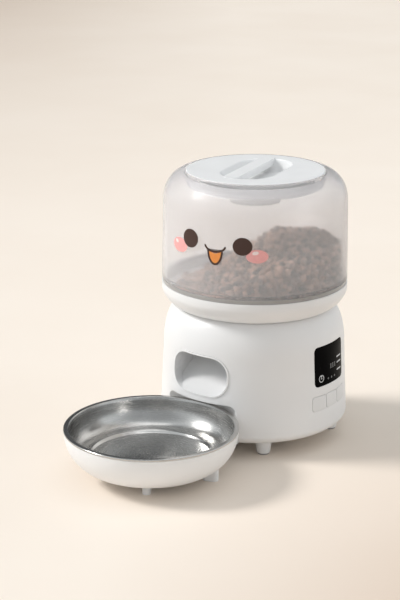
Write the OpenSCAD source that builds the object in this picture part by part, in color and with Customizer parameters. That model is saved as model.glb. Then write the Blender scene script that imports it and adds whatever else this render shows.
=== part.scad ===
// Countertop automatic pet feeder: frosted hopper on a drum-shaped base, with
// a steel food bowl on a tray that docks into a recess of the base.
// Millimetres, +Z up, the food outlet faces -Y, z = 0 is the floor.
// The origin is the middle of the footprint; the drum's axis lies behind it.

/* [Base] */
// Largest radius of the base, just above its rounded lower corner
base_r = 98.6; // [97:0.1:100]
// Radius of the base where the shoulder starts
base_top_r = 95; // [94:0.1:96]
// Wall thickness of the base housing
base_wall = 2.4; // [2:0.1:2.8]
// Height of the base feet below the bottom plate
foot_h = 13.9; // [12:0.1:15]

/* [Hopper] */
// Radius of the frosted hopper at its lower edge
hopper_r = 96.5; // [95:0.1:98]
// Wall thickness of the hopper
hopper_wall = 2.4; // [2:0.1:2.8]
// Radius of the lid
lid_r = 71.5; // [70:0.1:71.6]

/* [Outlet] */
// Width of the food outlet
mouth_w = 68; // [60:1:70]
// Height of the food outlet
mouth_h = 40; // [36:1:41]
// Blades on the portion rotor
blades = 6; // [4:1:8]

/* [Panel] */
// Angle of the control panel, from +X towards +Y
panel_a = 3; // [-3:1:6]
// Width of the display window
window_w = 52; // [46:1:54]
// Travel of the push-buttons
press = 0.8; // [0.5:0.1:0.8]

/* [Bowl] */
// Distance from the drum's axis to the bowl's axis
bowl_d = 167.6; // [163:0.1:169]
// Outer radius of the steel bowl's rim
bowl_r = 87; // [86.4:0.1:88]
// Radius of the steel bowl's flat floor
bowl_floor_r = 61; // [50:1:62]

/* [Hidden] */
$fn = 96;
eps = 0.01;
axis_y = (bowl_d + bowl_r - base_r) / 2;   // drum axis, behind the footprint's middle

base_z0 = foot_h;            // underside of the base
corner_z = base_z0 + 12;     // top of the rounded lower corner
shoulder_z = 100.1;          // where the shoulder starts
neck_z = 141.8;              // top of the base
neck_r = 77.3;
lip_r = 71;                  // opening in the top of the housing
under_r = 78;                // where the lower corner meets the underside
plate_r = 75.7;              // bottom plate
plate_t = 2.4;

collar_r0 = 82.6;            // lower edge of the collar
collar_z1 = 165;             // top edge of the collar
ring_z1 = 169.3;             // top of the ring between collar and hopper
hopper_z1 = 247.4;           // where the hopper's shoulder starts
hopper_top_z = 282.2;
hopper_top_r = 62.6;
lid_z0 = 278.4;              // underside of the lid plate
lid_z1 = 281.6;              // top of the lid plate
neck_in_r = 67;              // filling neck

well_r = 56.6;               // rotor well in the collar
well_z0 = 118.6;
well_z1 = 143.6;
rotor_z0 = 121.6;
rotor_z1 = 141;
deck_z0 = 115.5;             // underside of the deck's cup
deck_screw_r = 74;
hex_r = 5.6;                 // drive hex, across its corners / 2

mouth_z = 85.1;              // middle of the outlet
mouth_corner = 17.5;
lip_t = 1.6;                 // lip around the outlet

window_z0 = 70;
window_z1 = 112;
window_corner = 5;
button_z0 = 45;
button_z1 = 60;
button_w = 19.4;
button_pitch = 12;           // degrees between buttons
button_y = 19;               // sideways place of the outer switches
board_x = 82;                // inner face of the control board

recess_r = 91.7;               // recess for the bowl, around the bowl's axis
recess_z1 = 57.5;
recess_top_r = 84.2;

tray_r = 86.4;
tray_floor_r = 50.65;
tray_z0 = 9.6;
tray_z1 = 48.8;
tray_t = 2.2;
steel_t = 0.8;
rim_z = 51.2;
tongue_w = 40;

gear_m = 1;                  // gear module
gear_t = 7;                  // gear thickness
z_pinion = 12;
z_wheel = 36;
z_small = 12;
z_output = 36;
wheel_y = gear_m * (z_small + z_output) / 2;
motor_x = -gear_m * (z_pinion + z_wheel) / 2;
box_z0 = 86;                 // gearbox floor
box_z1 = 112;                // gearbox cover
gear_lo = 90;                // lower gear plane
gear_hi = 99;                // upper gear plane

cells_x = 54;                // battery box, half its width
cells_y0 = -28;
cells_y1 = 36;
cells_z1 = 54;
rail_x = 54;
post_r = 69;
post_angles = [-32, 28, 152, 212];
seam_a = 170;                // where a turned shape's seam line lies
foot_front = 77;             // radius of the front feet
foot_rear = 82;

white = "whitesmoke";

// ---- helpers -------------------------------------------------------------

function arc(cx, cz, a, b, from, to, n = 14, p = 2) =
    [for (i = [0:n]) let (t = from + (to - from) * i / n,
        c = cos(t), s = sin(t), e = 2 / p)
        [cx + a * sign(c) * pow(abs(c), e), cz + b * sign(s) * pow(abs(s), e)]];

module on_axis() translate([0, axis_y, 0]) children();
module on_bowl() translate([0, axis_y - bowl_d, 0]) children();
module on_panel(a = 0) on_axis() rotate([0, 0, panel_a + a]) children();

module ring(r0, r1, z0, z1) rotate_extrude()
    translate([r0, z0]) square([r1 - r0, z1 - z0]);

module disc(r, z0, z1) translate([0, 0, z0]) cylinder(r = r, h = z1 - z0);

// rounded rectangle, centred, made of true arcs
module rrect(w, h, r) {
    if (w > 2 * r) square([w - 2 * r, h], center = true);
    square([w, h - 2 * r], center = true);
    for (x = w > 2 * r ? [-1, 1] : [0], y = [-1, 1])
        translate([x * (w / 2 - r), y * (h / 2 - r)]) circle(r = r);
}

// a flat outline that stands upright, pushed outwards along -Y
module upright(y0, y1) translate([0, y1, 0]) rotate([90, 0, 0])
    linear_extrude(y1 - y0) children();

// a flat outline that stands upright, pushed outwards along +X
module sideways(x0, x1) translate([x0, 0, 0]) rotate([90, 0, 90])
    linear_extrude(x1 - x0) children();

// outline of the base's skin, moved inwards by inset, from the underside up
function base_line(inset = 0, z0 = base_z0) = concat(
    [[under_r, z0 + inset]],
    arc(under_r, corner_z, base_r - under_r - inset, corner_z - z0 - inset, -90, 0),
    arc(neck_r, shoulder_z, base_top_r - neck_r - inset, neck_z - shoulder_z - inset, 0, 90));

function reversed(list) = [for (i = [len(list) - 1:-1:0]) list[i]];

// a turned shape whose seam line lies behind the drum, clear of its openings
module turned() rotate([0, 0, seam_a]) rotate_extrude() children();

// the solid that the base's outer or inner face bounds
module base_solid(inset = 0) turned() polygon(concat(
    [[0, base_z0 + inset]], base_line(inset), [[0, neck_z - inset]]));

// the layer between two depths under the base's outer face
module base_skin(outer, inner) turned() polygon(concat(
    base_line(outer), reversed(base_line(inner))));

// upright slice of a drum, between two angles
module wedge(a, r0, r1, z0, z1) rotate([0, 0, -a / 2]) rotate_extrude(angle = a)
    translate([r0, z0]) square([r1 - r0, z1 - z0]);

// space that the docked bowl needs, around the bowl's axis
module recess(grow = 0) rotate_extrude() polygon(concat(
    [[0, -1], [recess_r + grow, -1]],
    arc(recess_top_r, recess_z1 - 8, 7.5 + grow, 8 + grow, 0, 90),
    [[0, recess_z1 + grow]]));

// involute gear outline with a little backlash
function inv_r(rb, r) = sqrt(pow(r / rb, 2) - 1) * 180 / PI - acos(rb / r);
function gear_side(z, rb, rp, radii) = [for (r = radii)
    let (h = 90 / z - 0.10 / rp * 180 / PI - (r < rb ? 0 : inv_r(rb, r)) + inv_r(rb, rp))
    [r, h]];
module gear(z, t) {
    rp = gear_m * z / 2;
    rb = rp * cos(20);
    root = rp - 1.25 * gear_m;
    radii = [root, max(rb, root + 0.1), rp, rp + 0.5 * gear_m, rp + 0.9 * gear_m];
    side = gear_side(z, rb, rp, radii);
    linear_extrude(t) polygon([for (k = [0:z - 1]) each concat(
        [for (q = side) q[0] * [cos(k * 360 / z - q[1]), sin(k * 360 / z - q[1])]],
        [for (i = [len(side) - 1:-1:0]) let (q = side[i])
            q[0] * [cos(k * 360 / z + q[1]), sin(k * 360 / z + q[1])]])]);
}

// pan-head screw, head down at z = 0, shank upwards
module screw(r, len, head_r, head_h) {
    difference() {
        translate([0, 0, -head_h]) cylinder(r = head_r, h = head_h);
        translate([0, 0, -head_h - eps]) cylinder(r = head_r * 0.4, h = head_h * 0.6);
    }
    cylinder(r = r, h = len);
}

module at_posts() for (a = post_angles) rotate([0, 0, a])
    translate([post_r, 0, 0]) children();

module at_feet() for (s = [-1, 1]) {
    translate([s * foot_front * cos(45), -foot_front * sin(45), 0]) children();
    translate([s * foot_rear * cos(35), foot_rear * sin(35), 0]) children();
}

// ---- lid -----------------------------------------------------------------

lid_turn = 14.7;             // how far the grip is turned from the Y axis
pan_w = 57;
pan_l = 103;
pan_v = 2;                   // middle of the pan, along the grip
pan_z0 = 266.5;

module pan(grow, z0, z1) rotate([0, 0, lid_turn]) translate([0, pan_v, z0])
    linear_extrude(z1 - z0) rrect(pan_w + 2 * grow, pan_l + 2 * grow, pan_w / 2 + grow);

module lid() color(white) on_axis() difference() {
    union() {
        rotate_extrude() polygon([[0, lid_z0], [lid_r - 0.6, lid_z0], [lid_r, lid_z0 + 0.6],
            [lid_r, lid_z1 - 0.8], [lid_r - 0.8, lid_z1], [0, lid_z1]]);
        pan(2, pan_z0, lid_z0 + eps);
    }
    pan(0, pan_z0 + 2.2, lid_z1 + 1);
}

// the bar spans the pan left of its middle; its top plate lies on the lid's top
module lid_grip_bar() color(white) on_axis() {
    intersection() {
        rotate([0, 0, lid_turn]) translate([-15, -70, 270]) cube([15, 140, 20]);
        pan(-0.5, 275, lid_z1);
    }
    rotate([0, 0, lid_turn]) translate([-7.5, 3.5, lid_z1])
        linear_extrude(0.6) rrect(15, 107, 4);
}

module lid_plug() color(white) on_axis() difference() {
    ring(61.5, 64.4, 264, lid_z0);
    ring(63, 65, 269.8, 273.2);
}

module lid_seal() color("gainsboro") on_axis() difference() {
    ring(63.1, 66.6, 269.9, 273.1);
    ring(65.4, 67, 271, 272);
}

module desiccant_box() color(white) on_axis() difference() {
    disc(26, 252, pan_z0);
    disc(24.2, 251, pan_z0 - 1.8);
}

module desiccant_cover() color("gainsboro") on_axis() difference() {
    union() {
        disc(26, 249.8, 252);
        ring(22.4, 24, 252, 256);
    }
    for (n = [0:2], k = [0:max(0, n * 6 - 1)]) rotate([0, 0, k * 360 / max(1, n * 6)])
        translate([n * 7.5, 0, 249]) cylinder(r = 1.6, h = 4, $fn = 24);
}

// ---- hopper --------------------------------------------------------------

module hopper() color("lightgray", 0.5) on_axis() rotate_extrude() polygon(concat(
    [[92.6, 158], [92.6, ring_z1], [hopper_r, ring_z1]],
    [for (q = arc(hopper_top_r, hopper_z1, hopper_r - 1.4 - hopper_top_r,
        hopper_top_z - hopper_z1, 0, 78, 18, 2.4)) if (q[0] > 72.8) q],
    [[72.3, 281.4], [72.3, 278.2], [neck_in_r, 278.2], [neck_in_r, 266], [69.2, 266]],
    [for (q = arc(hopper_top_r, hopper_z1, hopper_r - 1.4 - hopper_wall - hopper_top_r,
        29, 75, 0, 18, 2.4)) if (q[0] > 69.2) q],
    [[hopper_r - 2.6, 173], [90.6, 171], [90.6, 158]]));

module rim_ring() color("dimgray") on_axis() ring(92.8, 95.6, collar_z1, ring_z1);

module outlet_hole(z0, z1, a, r0, r1) rotate([0, 0, -90]) wedge(a, r0, r1, z0, z1);

module hopper_collar() color(white) on_axis() difference() {
    rotate_extrude() polygon(concat(
        [[collar_r0 - 2.4, neck_z], [collar_r0, neck_z]],
        arc(collar_r0, 158.2, hopper_r - collar_r0, -16.4, 84, 0, 12, 1.5),
        [[hopper_r, collar_z1], [93.2, collar_z1], [93.2, 157.2], [well_r, well_z1],
        [well_r, well_z0 + 2.4], [8, well_z0 + 2.4], [8, well_z0], [well_r + 2.8, well_z0],
        [well_r + 2.8, well_z1 - 1.6], [90.5, 153.4], [collar_r0 - 2.4, 143.6]]));
    outlet_hole(well_z0 - 1, well_z0 + 3, 44, 24, 54);
}

module outlet_baffle() color("gainsboro") on_axis() {
    ring(51, 56.3, 141.7, 143.5);
    outlet_hole(141.7, 143.5, 66, 13, 52);
}

module wiper() color("lightgray") on_axis() for (s = [-1, 1])
    rotate([0, 0, s * 34.6]) outlet_hole(141.3, 143.5, 2.4, 14, 50.8);

module portion_rotor() color("lightgray") on_axis() difference() {
    union() {
        disc(11, rotor_z0, rotor_z1);
        for (k = [0:blades - 1]) rotate([0, 0, (k + 0.5) * 360 / blades])
            translate([10, -1, rotor_z0]) cube([45.6, 2, rotor_z1 - rotor_z0]);
    }
    translate([0, 0, rotor_z0 - 1]) cylinder(r = hex_r + 0.3, h = 13, $fn = 6);
    disc(2, 130, 150);
}

module stirrer() color("gainsboro") on_axis() difference() {
    union() {
        rotate_extrude() polygon(concat([[0, rotor_z1], [10, rotor_z1], [10, 147]],
            arc(0, 147, 10, 5, 0, 90, 6)));
        for (s = [0, 180]) rotate([0, 0, s + 25])
            translate([8, -2.5, 145.6]) cube([30, 5, 3.4]);
    }
    disc(2, 130, 160);
    disc(4.2, 150, 160);
}

module rotor_screw() color("silver") on_axis() translate([0, 0, 150])
    mirror([0, 0, 1]) screw(1.9, 15, 4, 2);

// ---- base ----------------------------------------------------------------

module mouth_shape(grow) translate([0, mouth_z])
    rrect(mouth_w + 2 * grow, mouth_h + 2 * grow, mouth_corner + grow);

module window_shape(grow) translate([0, (window_z0 + window_z1) / 2])
    rrect(window_w + 2 * grow, window_z1 - window_z0 + 2 * grow, window_corner + grow);

module button_outline(grow) translate([0, (button_z0 + button_z1) / 2])
    rrect(button_w + 2 * grow, button_z1 - button_z0 + 2 * grow, 3);

module base_housing() color(white) {
    difference() {
        on_axis() union() {
            turned() polygon(concat(
                [[plate_r + 0.3, base_z0]], base_line(), [[lip_r, neck_z]],
                [[lip_r, neck_z - base_wall]], reversed(base_line(base_wall)),
                [[plate_r + 0.3, base_z0 + base_wall]]));
            for (a = post_angles) rotate([0, 0, a]) {
                translate([post_r, 0, base_z0 + plate_t]) cylinder(r = 3.8, h = 40);
                translate([post_r + 2, -1, base_z0 + plate_t + 8]) cube([25, 2, 32]);
            }
        }
        on_axis() at_posts() disc(1.5, 0, 40);
        on_axis() for (a = [45:90:315]) rotate([0, 0, a])
            translate([deck_screw_r, 0, 0]) disc(1.5, 130, neck_z - 0.6);
        on_axis() upright(-110, -60) mouth_shape(lip_t + 0.2);
        on_panel() sideways(70, 110) window_shape(0.2);
        for (k = [-1:1]) on_panel(k * button_pitch) sideways(70, 110) button_outline(0.3);
        on_axis() translate([0, 80, 40]) rotate([-90, 0, 0]) cylinder(r = 5.2, h = 30);
        on_bowl() recess();
    }
    recess_wall();
}

// wall of the bowl recess, with cheeks that run down past the rounded corner
module recess_wall() difference() {
    intersection() {
        on_bowl() recess(base_wall);
        on_axis() union() {
            difference() {
                base_solid(0.05);
                disc(110, 0, base_z0 + 1);
            }
            rotate_extrude() polygon(concat([[0, base_z0 + 1]],
                arc(base_r - 8.3, base_z0 + 7, 7, 6, -90, 0, 6),
                [[base_r - 1.4, 40], [0, 40]]));
        }
    }
    on_bowl() recess();
    on_axis() disc(plate_r + 1, 0, base_z0 + base_wall - 0.4);
}

module base_deck() color("gainsboro") on_axis() difference() {
    union() {
        ring(60.2, lip_r - 0.2, 137, neck_z);
        ring(70, 77.2, 137, neck_z - base_wall);
        ring(60.2, 62.6, deck_z0, 137);
        disc(62.6, deck_z0, deck_z0 + 2.4);
    }
    disc(8, 100, 130);
    outlet_hole(deck_z0 - 1, deck_z0 + 3, 48, 22, 56);
    for (a = [45:90:315]) rotate([0, 0, a]) translate([deck_screw_r, 0, 0]) disc(1.5, 130, 145);
    for (q = box_posts) translate([q[0], q[1], 0]) disc(1.5, 110, 130);
}

module deck_screws() color("silver") on_axis() for (a = [45:90:315]) rotate([0, 0, a])
    translate([deck_screw_r, 0, 137]) screw(1.4, 4, 2.6, 1.8);

module outlet_chute() color(white) on_axis() difference() {
    union() {
        intersection() {
            sideways(-37.4, 37.4) polygon([[-95, 60.9], [-90, 60.9], [-25, 103.4], [-25, deck_z0],
                [-60, deck_z0], [-60, 111.4], [-95, 111.4]]);
            base_solid(base_wall + 0.4);
        }
        intersection() {
            upright(-110, -80) mouth_shape(lip_t);
            base_solid(-0.7);
        }
    }
    intersection() {
        sideways(-mouth_w / 2, mouth_w / 2) polygon([[-120, 65.1], [-92, 65.1], [-27, 105.8],
            [-27, 120], [-58, 120], [-58, 108.4], [-120, 108.4]]);
        union() {
            upright(-120, -70) mouth_shape(0);
            translate([-mouth_w / 2, -80.5, 40]) cube([mouth_w, 69.5, 90]);
        }
    }
}

module bottom_plate() color(white) union() {
    difference() {
        on_axis() disc(plate_r, base_z0, base_z0 + plate_t);
        on_bowl() disc(recess_r + base_wall + 0.4, 0, 60);
        on_axis() at_posts() disc(1.7, 0, 40);
        on_axis() translate([1.8 - cells_x, cells_y0 + 1.8, 0])
            cube([2 * cells_x - 3.6, cells_y1 - cells_y0 - 3.6, 40]);
    }
    on_axis() for (s = [0, 1]) mirror([s, 0, 0]) {
        // rails of the battery door
        translate([rail_x, cells_y0, 9.4]) cube([2.6, 70, base_z0 - 9.4]);
        translate([rail_x - 2.4, cells_y0, 9.4]) cube([2.6, 70, 1.8]);
        // rails of the bowl tray's tongue
        translate([tongue_w / 2 + 0.5, -66, 3.2]) cube([2.6, 30, base_z0 - 3.2]);
        translate([tongue_w / 2 - 2.4, -66, 3.2]) cube([3, 30, 1.8]);
    }
}

module bottom_screws() color("silver") on_axis() at_posts()
    translate([0, 0, base_z0]) screw(1.4, 16, 3, 1.8);

module base_feet() color(white) difference() {
    on_axis() at_feet() translate([0, 0, 1.6]) cylinder(r1 = 6.9, r2 = 8.9, h = 15.4);
    on_axis() base_solid();
    on_bowl() disc(recess_r + base_wall + 0.4, 0, 60);
}

module foot_pads() color("dimgray") on_axis() at_feet() cylinder(r = 6, h = 1.6);

module battery_box() color("gainsboro") on_axis() difference() {
    translate([-cells_x, cells_y0, base_z0 + plate_t])
        cube([2 * cells_x, cells_y1 - cells_y0, cells_z1 - base_z0 - plate_t]);
    for (k = [-1:1]) translate([k * 35.2 - 16.7, cells_y0 + 1.8, base_z0])
        cube([33.4, cells_y1 - cells_y0 - 3.6, cells_z1 - base_z0 - 1.8]);
}

module battery_contacts() color("goldenrod") on_axis() for (k = [-1:1]) {
    translate([k * 35.2 - 8, cells_y0 + 1.8, 24]) cube([16, 0.6, 20]);
    translate([k * 35.2 - 8, cells_y1 - 2.4, 24]) cube([16, 0.6, 20]);
    for (n = [0:3]) translate([k * 35.2, cells_y0 + 3.1 + n * 1.3, 34]) rotate([90, 0, 0])
        rotate_extrude($fn = 24) translate([6 - n, 0]) circle(r = 0.7, $fn = 16);
}

module battery_door() color(white) on_axis() difference() {
    translate([0.4 - rail_x, cells_y0, 11.6])
        cube([2 * rail_x - 0.8, cells_y1 - cells_y0 + 4, 2]);
    for (n = [0:4]) translate([-12, cells_y1 - 12 + n * 3, 11]) cube([24, 1.4, 1.2]);
}

// ---- drive ---------------------------------------------------------------

box_posts = [[-29.5, -16.5], [18.5, -16.5], [-29.5, 40.5], [18.5, 40.5]];

module box_outline(grow) translate([-5.5, 12]) rrect(59 + 2 * grow, 68 + 2 * grow, 6 + grow);

module gearbox_case() color("gainsboro") on_axis() difference() {
    translate([0, 0, box_z0]) linear_extrude(box_z1 - box_z0) box_outline(0);
    difference() {
        translate([0, 0, box_z0 + 2]) linear_extrude(40) box_outline(-2);
        for (q = box_posts) translate([q[0], q[1], 0]) cylinder(r = 3.6, h = box_z1);
    }
    for (q = box_posts) translate([q[0], q[1], 0]) disc(1.5, box_z0 - 1, 120);
    translate([motor_x, wheel_y, 0]) {
        disc(4.3, 80, 90);
        for (s = [-1, 1]) translate([0, s * 8, 0]) disc(1.3, 80, 90);
    }
    disc(3.05, 80, 90);
}

module gearbox_cover() color("gainsboro") on_axis() difference() {
    translate([0, 0, box_z1]) linear_extrude(deck_z0 - box_z1) box_outline(0);
    for (q = box_posts) translate([q[0], q[1], 0]) disc(1.5, 100, 120);
    disc(8.6, 100, 120);
    translate([0, wheel_y, 0]) disc(2.05, 100, box_z1 + 1.6);
}

module gearbox_screws() color("silver") on_axis() for (q = box_posts)
    translate([q[0], q[1], box_z0]) screw(1.4, 31, 2.8, 1.8);

module shaft_bush() color("goldenrod") on_axis() ring(6.05, 8.5, box_z1, deck_z0);

module output_gear() color("ivory") on_axis() difference() {
    union() {
        rotate([0, 0, 90 + 180 / z_output]) translate([0, 0, gear_hi]) gear(z_output, gear_t);
        disc(3, box_z0, gear_hi);
        disc(6, gear_hi, well_z0);
        translate([0, 0, well_z0 - eps]) cylinder(r = hex_r, h = 13, $fn = 6);
    }
}

module reduction_gear() color("ivory") on_axis() translate([0, wheel_y, 0]) difference() {
    union() {
        translate([0, 0, gear_lo]) gear(z_wheel, gear_t);
        disc(4.2, gear_lo, gear_hi);
        rotate([0, 0, -90]) translate([0, 0, gear_hi]) gear(z_small, gear_t);
    }
    disc(2.05, 80, 120);
}

module reduction_pin() color("silver") on_axis() translate([0, wheel_y, 0]) {
    disc(2, box_z0 + 2, box_z1 + 1.5);
}

module motor_pinion() color("goldenrod") on_axis() translate([motor_x, wheel_y, 0]) difference() {
    rotate([0, 0, 180 / z_pinion]) translate([0, 0, gear_lo]) gear(z_pinion, gear_t);
    disc(1.2, 80, 120);
}

module motor_shaft() color("silver") on_axis() translate([motor_x, wheel_y, 0])
    disc(1.15, 80.2, gear_lo + gear_t);

module gear_motor() color("silver") on_axis() translate([motor_x, wheel_y, 0]) difference() {
    union() {
        disc(13.8, 57, box_z0);
        disc(4, box_z0, box_z0 + 2);
    }
    disc(1.3, 79, 120);
    for (s = [-1, 1]) translate([0, s * 8, 0]) disc(1.3, 80, 120);
}

module motor_screws() color("silver") on_axis() for (s = [-1, 1])
    translate([motor_x, wheel_y + s * 8, box_z0 + 2]) mirror([0, 0, 1]) screw(1.2, 7, 2.4, 1.3);

module motor_terminals() color("goldenrod") on_axis() translate([motor_x, wheel_y, 0])
    for (s = [-1, 1]) translate([s * 6 - 0.4, -1.5, 54.4]) cube([0.8, 3, 2.6]);

// ---- control panel -------------------------------------------------------

module panel_skin(outer, inner) intersection() {
    on_axis() base_skin(outer, inner);
    children();
}

module display_window() color([0.03, 0.03, 0.03]) panel_skin(-0.15, 2.2)
    on_panel() sideways(70, 110) window_shape(0);

module display_module() color("dimgray") on_panel() translate([85, -21, 75]) cube([3.4, 42, 32]);

module control_board() color("darkgreen") on_panel()
    translate([board_x, -28, 38]) cube([1.6, 56, 76]);

module board_parts() color([0.1, 0.1, 0.1]) on_panel() {
    translate([board_x - 1.4, -7, 70]) cube([1.4, 12, 12]);
    translate([board_x - 1.2, 9, 60]) cube([1.2, 7, 5]);
    translate([board_x - 6, -18, 92]) cube([6, 12, 5]);
    translate([board_x, -14, 64]) rotate([0, -90, 0]) cylinder(r = 3.2, h = 8);
}

module button_switches() color([0.15, 0.15, 0.15]) on_panel() for (k = [-1:1])
    translate([board_x + 1.6, k * button_y - 3, 49.5]) {
        cube([2.2, 6, 6]);
        translate([2.2, 3, 3]) rotate([0, 90, 0]) cylinder(r = 1.6, h = 1);
    }

module button(k) color(white) union() {
    panel_skin(-0.3, 2) on_panel(k * button_pitch) sideways(70, 110) button_outline(0);
    on_panel() intersection() {
        translate([board_x + 5.7, k * button_y, 52.5]) rotate([0, 90, 0])
            cylinder(r = 2, h = 12);
        rotate([0, 0, -panel_a]) base_solid(1.9);
    }
}
module button_1() button(-1);
module button_2() button(0);
module button_3() button(1);

module button_carrier() color("gainsboro") on_panel() difference() {
    translate([88.8, -26.5, 42]) cube([1, 53, 24]);
    for (k = [-1:1]) translate([88, k * button_y, 52.5]) rotate([0, 90, 0])
        cylinder(r = 2.4, h = 4);
}

module power_inlet() color([0.1, 0.1, 0.1]) on_axis() translate([0, 84, 40]) rotate([-90, 0, 0])
    difference() {
        union() {
            cylinder(r = 5, h = 13.4);
            translate([-7, -6, -2]) cube([14, 12, 11]);
        }
        translate([0, 0, 2]) cylinder(r = 3.1, h = 20);
        translate([0, 0, -3]) cylinder(r = 1, h = 8);
    }

module inlet_pin() color("silver") on_axis() translate([0, 82, 40]) rotate([-90, 0, 0])
    cylinder(r = 0.95, h = 12);

// ---- bowl ----------------------------------------------------------------

module tray_solid(t = 0) rotate_extrude() polygon(concat([[0, tray_z0 + t]],
    arc(tray_floor_r, tray_z1 - 1, tray_r - tray_floor_r - t,
        tray_z1 - 1 - tray_z0 - t, -90, 0, 16),
    [[tray_r - t, tray_z1 + t], [0, tray_z1 + t]]));

module bowl_tray() color(white) on_bowl() difference() {
    union() {
        tray_solid();
        disc(tray_r - 0.9, tray_z1 - eps, tray_z1 + 1.4);
    }
    tray_solid(tray_t);
    disc(tray_r - tray_t, tray_z1 - 1, 60);
    for (s = [-1, 1]) translate([s * 12, 36, 0]) disc(1.5, 0, 20);
}

module tray_feet() color("gainsboro") on_bowl() difference() {
    for (s = [0, 1]) mirror([s, 0, 0]) {
        rotate([0, 0, -55.5]) translate([44.8, 0, 0]) linear_extrude(15) rrect(16, 8, 3.9);
        rotate([0, 0, 24]) translate([60.6, 0, 0]) linear_extrude(15) rrect(16, 8, 3.9);
    }
    tray_solid();
}

module tray_tongue() color(white) on_bowl() difference() {
    translate([-tongue_w / 2, 24, 5.4]) cube([tongue_w, 96, tray_z0 - 5.4]);
    for (s = [-1, 1]) translate([s * 12, 36, 0]) disc(1.5, 0, 20);
}

module tongue_screws() color("silver") on_bowl() for (s = [-1, 1])
    translate([s * 12, 36, 5.4]) screw(1.4, 6.2, 2.8, 1.6);

steel_z0 = 18.6;             // underside of the steel bowl's floor
steel_r = 82.2;              // radius of its wall below the rim
// outline of one face of the steel bowl, t above its underside
function steel_line(t) = concat(
    [[0, steel_z0 + t], [bowl_floor_r - t / 2, steel_z0 + t],
    [bowl_floor_r + 2 - t / 2, steel_z0 + 2.4 + t]],
    arc(bowl_floor_r + 5, rim_z - 8, steel_r - bowl_floor_r - 5 - t,
        rim_z - 11.6 - steel_z0 - t, -90, 0, 12),
    [[steel_r - t, rim_z - 2.6 + t]]);
module steel_bowl() color("silver") on_bowl() rotate_extrude() polygon(concat(
    steel_line(0),
    [[steel_r + 1, rim_z - steel_t], [bowl_r - steel_t, rim_z - steel_t],
    [bowl_r - steel_t, rim_z - 1.8], [bowl_r, rim_z - 1.8], [bowl_r, rim_z - 0.5],
    [bowl_r - 0.5, rim_z], [steel_r + 0.7, rim_z]],
    reversed(steel_line(steel_t))));

// ---- assembly ------------------------------------------------------------

lid();
lid_grip_bar();
lid_plug();
lid_seal();
desiccant_box();
desiccant_cover();
hopper();
rim_ring();
hopper_collar();
outlet_baffle();
wiper();
portion_rotor();
stirrer();
rotor_screw();
base_housing();
base_deck();
deck_screws();
outlet_chute();
bottom_plate();
bottom_screws();
base_feet();
foot_pads();
battery_box();
battery_contacts();
battery_door();
gearbox_case();
gearbox_cover();
gearbox_screws();
shaft_bush();
output_gear();
reduction_gear();
reduction_pin();
motor_pinion();
motor_shaft();
gear_motor();
motor_screws();
motor_terminals();
display_window();
display_module();
control_board();
board_parts();
button_switches();
button_1();
button_2();
button_3();
button_carrier();
power_inlet();
inlet_pin();
bowl_tray();
tray_feet();
tray_tongue();
tongue_screws();
steel_bowl();
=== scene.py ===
"""Looks of the pet feeder: meshes, procedural materials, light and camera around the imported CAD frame."""

import math

import bmesh
import bpy
import numpy as np
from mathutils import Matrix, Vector


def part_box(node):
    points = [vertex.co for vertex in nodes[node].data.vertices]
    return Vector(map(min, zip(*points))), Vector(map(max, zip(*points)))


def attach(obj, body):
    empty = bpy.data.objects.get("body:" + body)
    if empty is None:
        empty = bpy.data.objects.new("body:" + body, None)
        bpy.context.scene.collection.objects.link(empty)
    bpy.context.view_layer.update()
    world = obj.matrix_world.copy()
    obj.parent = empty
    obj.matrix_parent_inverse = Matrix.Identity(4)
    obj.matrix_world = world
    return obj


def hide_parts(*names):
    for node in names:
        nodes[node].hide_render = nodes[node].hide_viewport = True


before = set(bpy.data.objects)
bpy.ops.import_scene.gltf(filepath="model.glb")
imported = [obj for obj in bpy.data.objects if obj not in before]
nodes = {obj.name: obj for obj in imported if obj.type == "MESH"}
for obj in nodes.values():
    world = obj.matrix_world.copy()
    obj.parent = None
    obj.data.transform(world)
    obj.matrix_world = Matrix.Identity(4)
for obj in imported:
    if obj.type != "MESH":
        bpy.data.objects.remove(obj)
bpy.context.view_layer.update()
scene = bpy.context.scene
MM = 0.001


def middle(node):
    """Middle of a CAD node's box, in metres."""
    lo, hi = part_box(node)
    return (lo + hi) / 2


def radius_of(node):
    """Half the width of a round CAD node, in millimetres."""
    lo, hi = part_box(node)
    return (hi.x - lo.x) / 2 / MM


def towards(azimuth, elevation):
    """Unit vector along a compass angle, in degrees from +X, and a height angle."""
    a, e = math.radians(azimuth), math.radians(elevation)
    return Vector((math.cos(a) * math.cos(e), math.sin(a) * math.cos(e), math.sin(e)))


DRUM = middle("hopper")      # the drum's axis
BOWL = middle("steel_bowl")  # the bowl's axis

# ---------------------------------------------------------------- camera

LENS_MM = 97.08
CAMERA_AT = (0.9716, -1.22085, 0.6427)
VIEW_TURN, VIEW_DOWN = 128.81, 17.2

cam = bpy.data.objects.new("camera", bpy.data.cameras.new("camera"))
scene.collection.objects.link(cam)
cam.data.sensor_width = 36
cam.data.lens = LENS_MM
cam.location = CAMERA_AT
cam.rotation_mode = "QUATERNION"
cam.rotation_quaternion = towards(VIEW_TURN, -VIEW_DOWN).to_track_quat("-Z", "Y")
scene.camera = cam

# ---------------------------------------------------------------- materials


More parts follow.
